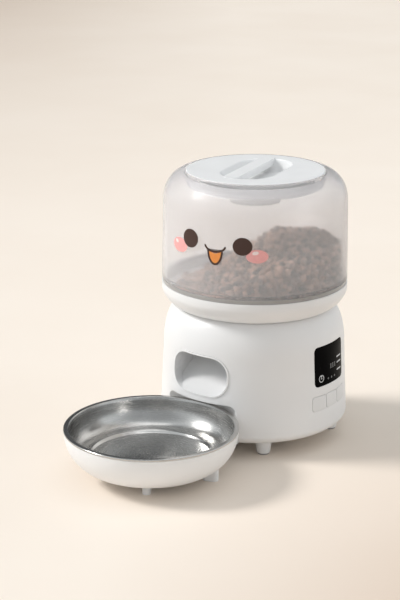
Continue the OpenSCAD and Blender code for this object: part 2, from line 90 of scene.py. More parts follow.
class Nodes:
    """A small builder for one material's node tree."""

    def __init__(self, name):
        self.mat = bpy.data.materials.new(name)
        self.mat.use_nodes = True
        self.tree = self.mat.node_tree
        self.tree.nodes.clear()
        self.out = self.add("ShaderNodeOutputMaterial")
        self.coord = self.add("ShaderNodeTexCoord").outputs["Object"]

    def add(self, kind, **sockets):
        n = self.tree.nodes.new(kind)
        for k, v in sockets.items():
            self.put(n.inputs[k.replace("_", " ")], v)
        return n

    def put(self, socket, value):
        if isinstance(value, bpy.types.NodeSocket):
            self.tree.links.new(value, socket)
        else:
            socket.default_value = value

    def noise(self, scale, detail=3, vector=None, rough=0.5):
        return self.add("ShaderNodeTexNoise", Vector=vector or self.coord, Scale=scale, Detail=detail,
                        Roughness=rough).outputs["Fac"]

    def spread(self, value, lo, hi, a=0.3, b=0.7):
        """Maps a value between a and b to the range from lo to hi, clamped."""
        n = self.add("ShaderNodeMapRange")
        for i, v in enumerate((value, a, b, lo, hi)):
            self.put(n.inputs[i], v)
        return n.outputs[0]

    def mix(self, fac, a, b):
        n = self.add("ShaderNodeMix")
        n.data_type = "RGBA"
        self.put(n.inputs[0], fac)
        self.put(n.inputs[6], a)
        self.put(n.inputs[7], b)
        return n.outputs[2]

    def math(self, op, a, b=0.0):
        n = self.add("ShaderNodeMath")
        n.operation = op
        self.put(n.inputs[0], a)
        self.put(n.inputs[1], b)
        return n.outputs[0]

    def bump(self, height, strength, distance, normal=None):
        n = self.add("ShaderNodeBump", Height=height, Strength=strength, Distance=distance)
        if normal:
            self.put(n.inputs["Normal"], normal)
        return n.outputs[0]

    def shader(self, **sockets):
        return self.add("ShaderNodeBsdfPrincipled", **sockets)

    def finish(self, shader):
        self.tree.links.new(shader, self.out.inputs["Surface"])
        return self.mat


def rgb(r, g, b):
    """Linear colour from 8-bit sRGB values."""
    f = [c / 255 for c in (r, g, b)]
    return tuple(c / 12.92 if c <= 0.04045 else ((c + 0.055) / 1.055) ** 2.4 for c in f) + (1.0,)


def shade(c, k):
    return tuple(min(1, x * k) for x in c[:3]) + (1.0,)


def moulded(name, colour, rough=0.38, grain=0.10, vary=0.03, coat=0.0, sheen=0.0):
    """Moulded plastic or rubber: faint flow marks in the colour, uneven gloss, fine spark-eroded grain."""
    m = Nodes(name)
    flow = m.noise(14, 2)
    fine = m.noise(900, 2)
    base = m.mix(m.spread(flow, 0, 1), shade(colour, 1 - vary), shade(colour, 1 + vary * 0.4))
    gloss = m.spread(m.noise(60, 4), rough - 0.05, rough + 0.06)
    soft = m.bump(m.noise(45, 2), 0.05, 0.0002)
    s = m.shader(Base_Color=base, Roughness=gloss, Normal=m.bump(fine, grain, 0.00006, soft))
    s.inputs["Coat Weight"].default_value = coat
    s.inputs["Sheen Weight"].default_value = sheen
    return m.finish(s.outputs[0])


def metal(name, colour, rough=0.3, scale=(400, 400, 40), vary=0.12, bump=0.15):
    """Metal with a directional grain, darker and duller where it is worn."""
    m = Nodes(name)
    stretch = m.add("ShaderNodeMapping", Vector=m.coord, Scale=scale).outputs[0]
    lines = m.noise(1, 3, stretch)
    blotch = m.noise(90, 4)
    base = m.mix(m.spread(blotch, 0, 1), shade(colour, 1 - vary), colour)
    gloss = m.math("ADD", m.spread(lines, -0.06, 0.06), m.spread(blotch, rough - 0.04, rough + 0.05))
    s = m.shader(Base_Color=base, Roughness=gloss, Metallic=1.0, Normal=m.bump(lines, bump, 0.00004))
    return m.finish(s.outputs[0])


def spun_steel(name, centre):
    """Stainless steel spun and brushed round its axis: fine rings, soft satin gloss."""
    m = Nodes(name)
    flat = m.add("ShaderNodeVectorMath")
    flat.operation = "SUBTRACT"
    m.put(flat.inputs[0], m.coord)
    m.put(flat.inputs[1], (centre.x, centre.y, 0))
    axis = m.add("ShaderNodeSeparateXYZ", Vector=flat.outputs[0])
    x, y, z = axis.outputs
    radius = m.math("SQRT", m.math("ADD", m.math("MULTIPLY", x, x), m.math("MULTIPLY", y, y)))
    fine, broad = 2600.0, 260.0
    rings = m.add("ShaderNodeCombineXYZ", X=m.math("MULTIPLY", radius, fine), Y=m.math("MULTIPLY", z, fine))
    soft = m.add("ShaderNodeCombineXYZ", X=m.math("MULTIPLY", radius, broad),
                 Y=m.math("MULTIPLY", z, broad), Z=m.math("MULTIPLY", m.math("ARCTAN2", y, x), 3.0))
    line = m.noise(1, 2, rings.outputs[0])
    band = m.noise(1, 3, soft.outputs[0])
    cloud = m.noise(30, 3)
    base = m.mix(m.spread(cloud, 0, 1), rgb(188, 187, 185), rgb(206, 205, 203))
    gloss = m.math("ADD", m.spread(line, -0.03, 0.04), m.spread(band, 0.2, 0.28))
    s = m.shader(Base_Color=base, Roughness=gloss, Metallic=1.0, Normal=m.bump(line, 0.10, 0.00003))
    s.inputs["Anisotropic"].default_value = 0.7
    s.inputs["Anisotropic Rotation"].default_value = 0.25
    tangent = m.add("ShaderNodeTangent")
    tangent.direction_type = "RADIAL"
    tangent.axis = "Z"
    m.put(s.inputs["Tangent"], tangent.outputs[0])
    return m.finish(s.outputs[0])


def frosted(name, colour, rough, clear):
    """Frosted moulding: milky body, rough see-through share, and lamps reach what is inside."""
    m = Nodes(name)
    tint = m.mix(m.spread(m.noise(11, 2), 0, 1), shade(colour, 0.97), colour)
    gloss = m.spread(m.noise(150, 3), rough - 0.02, rough + 0.03)
    grain = m.bump(m.noise(1400, 2), 0.05, 0.00003, m.bump(m.noise(35, 2), 0.03, 0.0002))
    s = m.shader(Base_Color=tint, Roughness=gloss, Normal=grain)
    s.inputs["Transmission Weight"].default_value = clear
    s.inputs["IOR"].default_value = 1.12
    s.inputs["Coat Weight"].default_value = 0.12
    s.inputs["Coat Roughness"].default_value = 0.25
    lamps = m.add("ShaderNodeBsdfTransparent", Color=(0.95, 0.95, 0.95, 1))
    path = m.add("ShaderNodeLightPath")
    both = m.add("ShaderNodeMixShader")
    m.put(both.inputs[0], path.outputs["Is Shadow Ray"])
    m.put(both.inputs[1], s.outputs[0])
    m.put(both.inputs[2], lamps.outputs[0])
    return m.finish(both.outputs[0])


def printed(name, colour, rough=0.4):
    """Printed ink: slightly uneven cover with a faint screen texture."""
    m = Nodes(name)
    base = m.mix(m.spread(m.noise(500, 2), 0, 1), shade(colour, 0.93), colour)
    s = m.shader(Base_Color=base, Roughness=m.spread(m.noise(300, 2), rough - 0.05, rough + 0.05),
                 Normal=m.bump(m.noise(1800, 1), 0.08, 0.00003))
    return m.finish(s.outputs[0])


def board(name):
    """Green circuit board: woven glass under a pattern of tracks."""
    m = Nodes(name)
    weave = m.add("ShaderNodeTexVoronoi", Vector=m.coord, Scale=420.0).outputs["Distance"]
    trace = m.add("ShaderNodeTexBrick", Vector=m.coord, Scale=190.0)
    base = m.mix(trace.outputs["Fac"], rgb(22, 84, 52), rgb(34, 110, 66))
    base = m.mix(m.spread(weave, 0, 0.5), base, rgb(18, 70, 44))
    s = m.shader(Base_Color=base, Roughness=m.spread(weave, 0.35, 0.5), Normal=m.bump(weave, 0.2, 0.00005))
    return m.finish(s.outputs[0])


def glossy_black(name):
    """Black display face with a faint smear in its gloss."""
    m = Nodes(name)
    smear = m.noise(38, 3)
    base = m.mix(m.spread(smear, 0, 1), rgb(3, 3, 4), rgb(8, 8, 9))
    s = m.shader(Base_Color=base, Roughness=m.spread(smear, 0.035, 0.09),
                 Normal=m.bump(m.noise(24, 2), 0.02, 0.0002))
    s.inputs["Specular IOR Level"].default_value = 0.02
    return m.finish(s.outputs[0])


def lamp(name, colour, strength):
    """Faintly lit display segment."""
    m = Nodes(name)
    base = m.mix(m.spread(m.noise(600, 2), 0, 1), shade(colour, 0.8), colour)
    s = m.shader(Base_Color=base, Roughness=m.spread(m.noise(300, 2), 0.3, 0.4))
    m.put(s.inputs["Emission Color"], colour)
    s.inputs["Emission Strength"].default_value = strength
    return m.finish(s.outputs[0])


WHITE = moulded("white_abs", rgb(238, 238, 238), 0.36, 0.10, 0.02)
KEYS = moulded("key_abs", rgb(232, 232, 232), 0.42, 0.12, 0.02)
FROST = frosted("frosted_shell", rgb(250, 249, 250), 0.17, 0.77)
INNER = moulded("inner_abs", rgb(214, 213, 210), 0.5, 0.25, 0.04)
SILICONE = moulded("silicone", rgb(206, 206, 204), 0.55, 0.05, 0.04, sheen=0.2)
RIM = moulded("rim_silicone", rgb(162, 160, 158), 0.3, 0.05, 0.06, coat=0.3)
RUBBER = moulded("foot_rubber", rgb(150, 148, 146), 0.7, 0.4, 0.08, sheen=0.3)
ACETAL = moulded("gear_acetal", rgb(236, 230, 214), 0.4, 0.15, 0.04)
BRASS = metal("brass", rgb(203, 164, 92), 0.28)
PLATED = metal("plated_steel", rgb(190, 190, 188), 0.3)
MOTOR = metal("motor_can", rgb(176, 176, 178), 0.36, (40, 40, 600))
GLASS = glossy_black("display_gloss")
BLACK = moulded("black_abs", rgb(24, 24, 25), 0.45, 0.3, 0.15)
BOARD = board("circuit_board")
STEEL = spun_steel("spun_steel", BOWL)

# ---------------------------------------------------------------- mesh helpers


def made(name, verts, faces, mat, body, smooth=35.0):
    """A new piece from vertices in metres, with its faces turned outwards."""
    mesh = bpy.data.meshes.new(name)
    mesh.from_pydata([tuple(v) for v in verts], [], faces)
    mesh.validate()
    bm = bmesh.new()
    bm.from_mesh(mesh)
    bmesh.ops.recalc_face_normals(bm, faces=bm.faces)
    bm.to_mesh(mesh)
    bm.free()
    return placed(name, mesh, mat, body, smooth)


def placed(name, mesh, mat, body, smooth=35.0):
    """Puts a mesh into the scene on its body; edges sharper than smooth degrees stay sharp."""
    mesh.shade_smooth()
    mesh.set_sharp_from_angle(angle=math.radians(smooth))
    mesh.materials.clear()
    mesh.materials.append(mat)
    o = bpy.data.objects.new(name, mesh)
    scene.collection.objects.link(o)
    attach(o, body)
    return o


def arc(cx, cz, a, b, start, stop, n=48, p=2.0):
    """Part of a superellipse in the (radius, height) plane, in millimetres."""
    out = []
    for i in range(n + 1):
        t = math.radians(start + (stop - start) * i / n)
        c, s = math.cos(t), math.sin(t)
        out.append((cx + a * math.copysign(abs(c) ** (2 / p), c),
                    cz + b * math.copysign(abs(s) ** (2 / p), s)))
    return out


def lathe(name, line, centre, mat, body, n=192, closed=True, smooth=35.0):
    """Turns a (radius, height) line in millimetres round a vertical axis."""
    turned = np.radians(np.arange(n) * 360 / n)
    ring = np.stack([np.cos(turned), np.sin(turned)], 1)
    verts, rows = [], []
    for r, z in line:
        if r < 1e-6:
            rows.append([len(verts)] * n)
            verts.append((centre.x, centre.y, z * MM))
        else:
            rows.append(list(range(len(verts), len(verts) + n)))
            verts += [(centre.x + c * r * MM, centre.y + s * r * MM, z * MM) for c, s in ring]
    pairs = list(zip(rows, rows[1:])) + ([(rows[-1], rows[0])] if closed else [])
    faces = []
    for lower, upper in pairs:
        for k in range(n):
            q = [lower[k], lower[(k + 1) % n], upper[(k + 1) % n], upper[k]]
            q = [v for i, v in enumerate(q) if v != q[i - 1]]
            if len(q) > 2:
                faces.append(q)
    return made(name, verts, faces, mat, body, smooth)


def eased(line, sharp, n=5):
    """Rounds the corners of a closed line, in millimetres: sharp lists the indices and their radii."""
    out, size = [], len(line)
    for i, p in enumerate(line):
        k = sharp.get(i, 0)
        if not k:
            out.append(p)
            continue
        p = Vector(p)
        a, b = Vector(line[i - 1]) - p, Vector(line[(i + 1) % size]) - p
        k = min(k, a.length * 0.45, b.length * 0.45)
        a, b = p + a.normalized() * k, p + b.normalized() * k
        for j in range(n + 1):
            t = j / n
            q = a * (1 - t) ** 2 + p * 2 * t * (1 - t) + b * t * t
            out.append((q.x, q.y))
    return out


def corners(line, limit=25):
    """Indices of the corners of a closed line that turn by more than limit degrees."""
    found = []
    for i in range(len(line)):
        a = Vector(line[i]) - Vector(line[i - 1])
        b = Vector(line[(i + 1) % len(line)]) - Vector(line[i])
        if a.length > 1e-9 and b.length > 1e-9 and math.degrees(a.angle(b)) > limit:
            found.append(i)
    return found


def refined(node, mat, body, bevel=0.35, angle=32.0, segments=2):
    """A finer piece from a CAD node's own mesh: welded, smooth-shaded, with its edges broken."""
    mesh = nodes[node].data.copy()
    bm = bmesh.new()
    bm.from_mesh(mesh)
    bmesh.ops.remove_doubles(bm, verts=bm.verts, dist=2e-6)
    bmesh.ops.dissolve_degenerate(bm, dist=2e-6, edges=bm.edges)
    flat = [e for e in bm.edges if len(e.link_faces) == 2 and e.calc_face_angle(0) < math.radians(0.2)]
    bmesh.ops.dissolve_edges(bm, edges=flat, use_verts=False)
    bmesh.ops.dissolve_limit(bm, angle_limit=math.radians(0.2), verts=bm.verts, edges=[])
    if bevel:
        edges = [e for e in bm.edges
                 if len(e.link_faces) == 2 and e.calc_face_angle(0) > math.radians(angle)]
        bmesh.ops.bevel(bm, geom=edges, offset=bevel * MM, segments=segments, profile=0.6, affect="EDGES",
                        clamp_overlap=True)
    bmesh.ops.triangulate(bm, faces=[f for f in bm.faces if len(f.verts) > 4])
    bm.to_mesh(mesh)
    bm.free()
    for a in [a.name for a in mesh.attributes if a.name in ("custom_normal", "sharp_edge", "sharp_face")]:
        mesh.attributes.remove(mesh.attributes[a])
    o = placed(node + ".fine", mesh, mat, body, angle)
    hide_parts(node)
    return o


def dress(node, mat):
    """A CAD node that keeps its mesh gets its procedural material."""
    mesh = nodes[node].data
    mesh.materials.clear()
    mesh.materials.append(mat)


# ---------------------------------------------------------------- hopper

HOPPER_R = radius_of("hopper")
SPIGOT_Z, SKIRT_Z, WALL_Z, TOP_Z = 158, 169.3, 247.4, 282.2  # foot, step, top of the wall, top
TAPER = 1.4                                # the wall leans in by this much
SHOULDER_R, SHOULDER_P = 62.6, 2.4         # middle and squareness of the shoulder's curve
SPIGOT_R, SPIGOT_IN_R = 92.6, 90.6
SEAT_R, SEAT_Z = 72.3, 278.2               # ledge that the lid sits on
NECK_R, NECK_OUT_R, NECK_Z = 67, 69.2, 266  # neck that the lid's plug goes into

outer = arc(SHOULDER_R, WALL_Z, HOPPER_R - TAPER - SHOULDER_R, TOP_Z - WALL_Z, 0, 78, 64, SHOULDER_P)
inner = arc(SHOULDER_R, WALL_Z, HOPPER_R - 3.8 - SHOULDER_R, 29, 75, 0, 64, SHOULDER_P)
shell = ([(SPIGOT_R, SPIGOT_Z), (SPIGOT_R, SKIRT_Z), (HOPPER_R, SKIRT_Z)]
         + [q for q in outer if q[0] > SEAT_R + 0.5]
         + [(SEAT_R, 281.4), (SEAT_R, SEAT_Z), (NECK_R, SEAT_Z), (NECK_R, NECK_Z), (NECK_OUT_R, NECK_Z)]
         + [q for q in inner if q[0] > NECK_OUT_R]
         + [(HOPPER_R - 2.6, 173), (SPIGOT_IN_R, 171), (SPIGOT_IN_R, SPIGOT_Z)])
shell = eased(shell, {i: 0.6 for i in corners(shell)})
hopper = lathe("hopper.fine", shell, DRUM, FROST, "hopper", 256)
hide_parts("hopper")

RING_IN_R, RING_OUT_R, RING_Z = 92.8, 95.6, 165
ring = eased([(RING_IN_R, RING_Z), (RING_OUT_R, RING_Z), (RING_OUT_R, SKIRT_Z), (RING_IN_R, SKIRT_Z)],
             {i: 0.5 for i in range(4)})
rim = lathe("rim_ring.fine", ring, DRUM, RIM, "hopper", 192)
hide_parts("rim_ring")

refined("hopper_collar", WHITE, "hopper", 0.45, 30)


def hopper_r(z):
    """Outer radius of the hopper's wall at a height, in millimetres."""
    return HOPPER_R - TAPER * max(0, min(1, (z - SKIRT_Z) / (WALL_Z - SKIRT_Z)))


# ---------------------------------------------------------------- food

VIEW_RIGHT = Vector((0.7792, 0.6268))  # level direction to the right in the main view
HEAP_Z, HEAP_RISE = 157, 49            # lowest height of the heap, and its rise to the right
LUMP = (4.2, 3.6, 2.8)                 # half sizes of one lump
LAYERS = ((87.4, 0.094), (82.0, 0.1))  # rings of lumps along the wall: radius, angle between lumps
LOAD_R, LOAD_Z = 91.6, 156.5           # the lumps stay inside this radius and above this height
TOP_GAP, TOP_R = 6.6, 84               # grid and reach of the lumps on the surface
CORE_R, CORE_Z, CORE_STEPS, CORE_SIDES = 80, 158.5, 10, 72


def heap_top(x, y):
    """Height of the food's surface over a point beside the drum's axis, in millimetres."""
    s = x * VIEW_RIGHT.x + y * VIEW_RIGHT.y
    t = -x * VIEW_RIGHT.y + y * VIEW_RIGHT.x
    slope = 1 / (1 + math.exp(-(s + 4) / 17))
    return HEAP_Z + HEAP_RISE * slope - 0.03 * t + 2.2 * math.sin(x * 0.11 + 1) * math.cos(y * 0.13)


# one lump shape, scattered along the wall and over the surface of the heap
lump = bmesh.new()
bmesh.ops.create_icosphere(lump, subdivisions=2, radius=1)
lump_v = np.array([v.co[:] for v in lump.verts])
lump_f = np.array([[v.index for v in f.verts] for f in lump.faces])
lump.free()
rng = np.random.default_rng(11)
spots = []
for z in np.arange(162, 216, 5.0):
    for layer, gap in LAYERS:
        for a in np.arange(0, 2 * math.pi, gap):
            a2, r2 = a + rng.uniform(-0.03, 0.03), layer + rng.uniform(-1.5, 0.6)
            x, y = r2 * math.cos(a2), r2 * math.sin(a2)
            z2 = z + rng.uniform(-1.6, 1.6)
            if z2 < heap_top(x, y) - 2:
                spots.append((x, y, z2))
for gx in np.arange(-TOP_R, TOP_R + 1, TOP_GAP):
    for gy in np.arange(-TOP_R, TOP_R + 1, TOP_GAP):
        x, y = gx + rng.uniform(-2, 2), gy + rng.uniform(-2, 2)
        if math.hypot(x, y) < TOP_R:
            for down in (1.0, 5.2):
                spots.append((x, y, heap_top(x, y) - down + rng.uniform(-1.2, 1.2)))
verts, faces = [], []
for n, (x, y, z) in enumerate(spots):
    size = np.array(LUMP) * rng.uniform(0.85, 1.12)
    v = lump_v * size * (1 + 0.07 * np.sin(lump_v[:, [1, 2, 0]] * 5 + n))
    q = np.linalg.qr(rng.normal(size=(3, 3)))[0]
    v = v @ q.T + (x, y, z)
    out = np.hypot(v[:, 0], v[:, 1])
    v[:, :2] *= (np.minimum(out, LOAD_R) / np.maximum(out, 1e-6))[:, None]
    v[:, 2] = np.maximum(v[:, 2], LOAD_Z)
    faces.append(lump_f + n * len(lump_v))
    verts.append(v * MM + (DRUM.x, DRUM.y, 0))
verts, faces = np.concatenate(verts), np.concatenate(faces)


def kibble_material():
    """Dry crumbly food: every lump has its own brown."""
    m = Nodes("kibble")
    each = m.add("ShaderNodeNewGeometry").outputs["Random Per Island"]
    tone = m.mix(each, rgb(36, 24, 19), rgb(182, 146, 124))
    crumb = m.noise(700, 4, rough=0.7)
    base = m.mix(m.spread(crumb, 0, 0.3), tone, rgb(24, 16, 13))
    s = m.shader(Base_Color=base, Roughness=m.spread(crumb, 0.7, 0.9), Normal=m.bump(crumb, 0.5, 0.0004))
    return m.finish(s.outputs[0])


made("kibble_load", verts, faces.tolist(), kibble_material(), "hopper", 80)

# core of the heap, so that no light shows between the lumps
core_v, core_f, cn, cr = [], [], CORE_SIDES, CORE_STEPS
for j in range(cr + 1):
    for k in range(cn):
        r, a = CORE_R * j / cr + 0.01, k * 2 * math.pi / cn
        x, y = r * math.cos(a), r * math.sin(a)
        core_v.append((DRUM.x + x * MM, DRUM.y + y * MM, (heap_top(x, y) - 4) * MM))
for k in range(cn):
    a = k * 2 * math.pi / cn
    core_v.append((DRUM.x + CORE_R * MM * math.cos(a), DRUM.y + CORE_R * MM * math.sin(a), CORE_Z * MM))
for j in range(cr + 1):
    for k in range(cn):
        core_f.append([j * cn + k, j * cn + (k + 1) % cn, (j + 1) * cn + (k + 1) % cn, (j + 1) * cn + k])
core_f += [list(range(cn)), list(range((cr + 1) * cn, (cr + 2) * cn))]
made("kibble_core", core_v, core_f, bpy.data.materials["kibble"], "hopper", 60)


# ---------------------------------------------------------------- printed face


def wrapped(u, v, angle, z0, lift):
    """A point on the hopper's outer face: u mm to the viewer's right, v mm up."""
    z = z0 + v
    r = hopper_r(z) + lift
    a = math.radians(angle) + u / HOPPER_R
    return (DRUM.x + r * math.cos(a) * MM, DRUM.y + r * math.sin(a) * MM, z * MM)


def blob(edge, angle, z0, lift, verts, faces, rings=7):
    """Fills a star-shaped outline, given round its own middle, as a fine fan on the hopper's wall."""
    n = len(edge)
    cu = sum(p[0] for p in edge) / n
    cv = sum(p[1] for p in edge) / n
    start = len(verts)
    verts.append(wrapped(cu, cv, angle, z0, lift))
    for j in range(1, rings + 1):
        for u, v in edge:
            t = j / rings
            verts.append(wrapped(cu + (u - cu) * t, cv + (v - cv) * t, angle, z0, lift))
    for k in range(n):
        faces.append([start, start + 1 + k, start + 1 + (k + 1) % n])
        for j in range(rings - 1):
            a, b = start + 1 + j * n, start + 1 + (j + 1) * n
            faces.append([a + k, b + k, b + (k + 1) % n, a + (k + 1) % n])


def oval(w, h, cu=0.0, cv=0.0, tilt=0.0, n=48):
    """Outline of an ellipse of full width w and height h, turned by tilt degrees."""
    out = []
    for k in range(n):
        a = 2 * math.pi * k / n
        x, y = w / 2 * math.cos(a), h / 2 * math.sin(a)
        c, s = math.cos(math.radians(tilt)), math.sin(math.radians(tilt))
        out.append((cu + x * c - y * s, cv + x * s + y * c))
    return out


def stroke(path, width, angle, z0, lift, verts, faces):
    """A line of even width with round ends on the hopper's wall."""
    n, start = len(path), len(verts)
    for i, p in enumerate(path):
        a, b = Vector(path[max(i - 1, 0)]), Vector(path[min(i + 1, n - 1)])
        side = (b - a).normalized().orthogonal() * width / 2
        verts.append(wrapped(p[0] + side.x, p[1] + side.y, angle, z0, lift))
        verts.append(wrapped(p[0] - side.x, p[1] - side.y, angle, z0, lift))
    for i in range(n - 1):
        k = start + 2 * i
        faces.append([k, k + 1, k + 3, k + 2])
    for end in (path[0], path[-1]):
        blob(oval(width, width, end[0], end[1], n=20), angle, z0, lift, verts, faces, 2)


def decal(name, mat, *shapes):
    """One print on the hopper; each shape is a drawing function and what it takes."""
    verts, faces = [], []
    for make, *rest in shapes:
        make(*rest, verts, faces)
    made(name, verts, faces, mat, "hopper", 60)


EYE = printed("print_brown", rgb(62, 34, 24))
TONGUE = printed("print_orange", rgb(240, 150, 70))
BLUSH = printed("print_pink", rgb(246, 178, 176))
GLINT = printed("print_light", rgb(252, 232, 230))
FACE = -77.4                                 # compass angle of the mouth, in degrees
MOUTH_Z, PEN = 218.6, 2.1
LEFT_CHEEK, RIGHT_CHEEK = (-104.6, 216.9), (-51.7, 214.8)  # compass angle, height
smile = [(11 * math.cos(math.radians(t)), 6.4 * math.sin(math.radians(t)) + 4) for t in range(188, 353, 5)]
mouth = [(7.6 * math.cos(math.radians(t)), 14 * math.sin(math.radians(t))) for t in range(180, 361, 6)]
mouth_line = mouth + [mouth[0]]
decal("face_eyes", EYE, (blob, oval(20.2, 19.0, tilt=8), -95.2, 226.5, 0.12),
      (blob, oval(19.8, 18.0), -60.5, 224.5, 0.12))
decal("face_cheeks", BLUSH, (blob, oval(23, 15), *LEFT_CHEEK, 0.08),
      (blob, oval(22.2, 13.8), *RIGHT_CHEEK, 0.08))
decal("face_glints", GLINT, (blob, oval(5.4, 3.6, -5.0, 3.2, -20), *LEFT_CHEEK, 0.14),
      (blob, oval(6.6, 3.8, -1.0, 3.4, 10), -52.2, 214.8, 0.14))
decal("face_tongue", TONGUE, (blob, mouth, FACE, MOUTH_Z, 0.1))
decal("face_mouth", EYE, (stroke, mouth_line, PEN, FACE, MOUTH_Z, 0.16),
      (stroke, smile, PEN, FACE, MOUTH_Z + 1, 0.16))

# ---------------------------------------------------------------- lid

LID_R = radius_of("lid")
LID_TOP, LID_UNDER, LID_SKIN, LID_CROWN = 281.6, 278.4, 2.1, 0.25
LID_TURN = math.radians(14.7)          # the grip is turned by this much about the drum's axis
PAN_FLOOR, PAN_W, PAN_L, PAN_V = 268.7, 57.0, 103.0, 2.0


def pan_depth(x, y):
    """Depth of the grip pan under the lid's face: steep wall to the right, long soft one to the left."""
    u = x * math.cos(LID_TURN) + y * math.sin(LID_TURN)
    v = -x * math.sin(LID_TURN) + y * math.cos(LID_TURN) - PAN_V
    r = PAN_W / 2
    d = r - math.hypot(u, max(abs(v) - (PAN_L / 2 - r), 0))
    side = 0.5 + 0.5 * math.tanh(-u / 9)
    wide = 2.6 + 9.0 * side
    t = max(0.0, min(1.0, (d + 0.4) / wide))
    return (LID_TOP - PAN_FLOOR) * t * t * (3 - 2 * t)


NR, NA = 132, 288  # rings and sides of the lid's mesh
verts, faces = [], []


def lid_ring(r, height):
    """Adds one ring of the lid, whose height depends on the place; gives the index of its first vertex."""
    first = len(verts)
    for k in range(NA):
        a = 2 * math.pi * k / NA
        x, y = r * math.cos(a), r * math.sin(a)
        verts.append((DRUM.x + x * MM, DRUM.y + y * MM, height(x, y) * MM))
    return first


def lid_face(x, y, r, dz):
    """Height of the lid's upper face, slightly crowned; past the rounded edge dz lies below it."""
    crown = LID_CROWN * (1 - (r / LID_R) ** 2)
    return LID_TOP + dz - LID_CROWN + crown - (pan_depth(x, y) if dz == 0 else 0)


def lid_back(x, y):
    """Height of the lid's underside, which follows the pan."""
    return min(LID_UNDER, LID_TOP - pan_depth(x, y) - LID_SKIN)


edge = [(LID_R - 0.9, 0.0), (LID_R - 0.45, -0.12), (LID_R - 0.12, -0.45), (LID_R, -0.9)]
radii = [(LID_R - 0.9) * j / NR for j in range(1, NR)]
rows = [lid_ring(r, lambda x, y: lid_face(x, y, r, dz)) for r, dz in [(r, 0.0) for r in radii] + edge]
rows += [lid_ring(r, lambda x, y: LID_UNDER + dz) for r, dz in ((LID_R, 0.5), (LID_R - 0.5, 0.0))]
rows += [lid_ring(r, lid_back) for r in reversed(radii[3::4])]
for a, b in zip(rows, rows[1:]):
    for k in range(NA):
        faces.append([a + k, b + k, b + (k + 1) % NA, a + (k + 1) % NA])
pan_middle = LID_TOP - pan_depth(0, 0)
for first, z in ((rows[0], pan_middle), (rows[-1], pan_middle - LID_SKIN)):
    verts.append((DRUM.x, DRUM.y, z * MM))
    for k in range(NA):
        faces.append([len(verts) - 1, first + k, first + (k + 1) % NA])
lid = made("lid.fine", verts, faces, WHITE, "lid", 50)
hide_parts("lid")
refined("lid_grip_bar", WHITE, "lid", 0.25, 30, 3)

# ---------------------------------------------------------------- base, outlet, panel

refined("base_housing", WHITE, "base", 0.3, 38)
refined("outlet_chute", WHITE, "base", 0.5, 38)
refined("display_window", GLASS, "base", 0.3, 38)
for k in (1, 2, 3):
    refined(f"button_{k}", KEYS, f"key_{k}", 0.3, 38)
refined("base_feet", WHITE, "base", 0.4, 30)
refined("foot_pads", RUBBER, "base", 0.4, 30)
refined("bottom_plate", WHITE, "base", 0.3, 38)
refined("battery_door", WHITE, "door", 0.25, 38)
refined("power_inlet", BLACK, "base", 0.3, 38)

PANEL_A, PANEL_R = 3.0, 96.5  # compass angle of the panel, and the radius its marks are laid out on
BASE_LOW, BASE_HIGH = (98.6, 25.9), (95.0, 100.1)  # ends of the straight wall: radius, height
DOME_R, DOME_W, DOME_H = 77.3, 17.7, 41.7  # the curve above it: middle, width, height
MARK_LIFT = 0.28

def base_r(z):
    """Outer radius of the base above its rounded corner."""
    (r0, z0), (r1, z1) = BASE_LOW, BASE_HIGH
    if z <= z1:
        return r0 + (r1 - r0) * (z - z0) / (z1 - z0)
    return DOME_R + DOME_W * math.sqrt(max(0, 1 - ((z - z1) / DOME_H) ** 2))


def on_base(name, mat, shapes):
    """Thin marks on the panel: outlines in millimetres, u to the right of the panel's middle and z up."""
    verts, faces = [], []
    for edge in shapes:
        start, n = len(verts), len(edge)
        cu, cz = sum(p[0] for p in edge) / n, sum(p[1] for p in edge) / n
        for t in (0.0, 0.34, 0.67, 1.0):
            for u, z in edge:
                u, z = cu + (u - cu) * t, cz + (z - cz) * t
                r, a = base_r(z) + MARK_LIFT, math.radians(PANEL_A) + u / PANEL_R
                verts.append((DRUM.x + r * math.cos(a) * MM, DRUM.y + r * math.sin(a) * MM, z * MM))
        for j in range(3):
            for k in range(n):
                a, b = start + j * n, start + (j + 1) * n
                faces.append([a + k, b + k, b + (k + 1) % n, a + (k + 1) % n])
    return made(name, verts, faces, mat, "base", 60)


def pill(w, h, cu, cz):
    """Outline of a bar with round ends."""
    r, turns = h / 2, np.linspace(-math.pi / 2, math.pi / 2, 9)
    right = [(cu + w / 2 - r + r * math.cos(t), cz + r * math.sin(t)) for t in turns]
    left = [(cu - w / 2 + r - r * math.cos(t), cz - r * math.sin(t)) for t in turns]
    return right + left


def hoop(r0, r1, cu, cz, n=40):
    """A ring as a row of small quads."""
    out = []
    for k in range(n):
        a, b = 2 * math.pi * k / n, 2 * math.pi * (k + 1) / n
        quad = ((r0, a), (r1, a), (r1, b), (r0, b))
        out.append([(cu + r * math.cos(t), cz + r * math.sin(t)) for r, t in quad])
    return out


MARK = lamp("display_marks", rgb(190, 192, 194), 0.12)
FAINT = lamp("display_faint", rgb(96, 98, 100), 0.04)
on_base("display_icons", MARK, hoop(3.0, 3.9, -17, 78.2)
        + [pill(0.9, 3.4, -17, 79.4)] + [pill(10.5, 1.5, 16.8, z) for z in (94.2, 88.2, 80.4)])
on_base("display_digits", FAINT, [pill(2.0, 5.0, -1 + 4 * k, 88) for k in range(3)]
        + [pill(2.4, 2.4, -6 + 6 * k, 76) for k in range(3)])

# ---------------------------------------------------------------- bowl

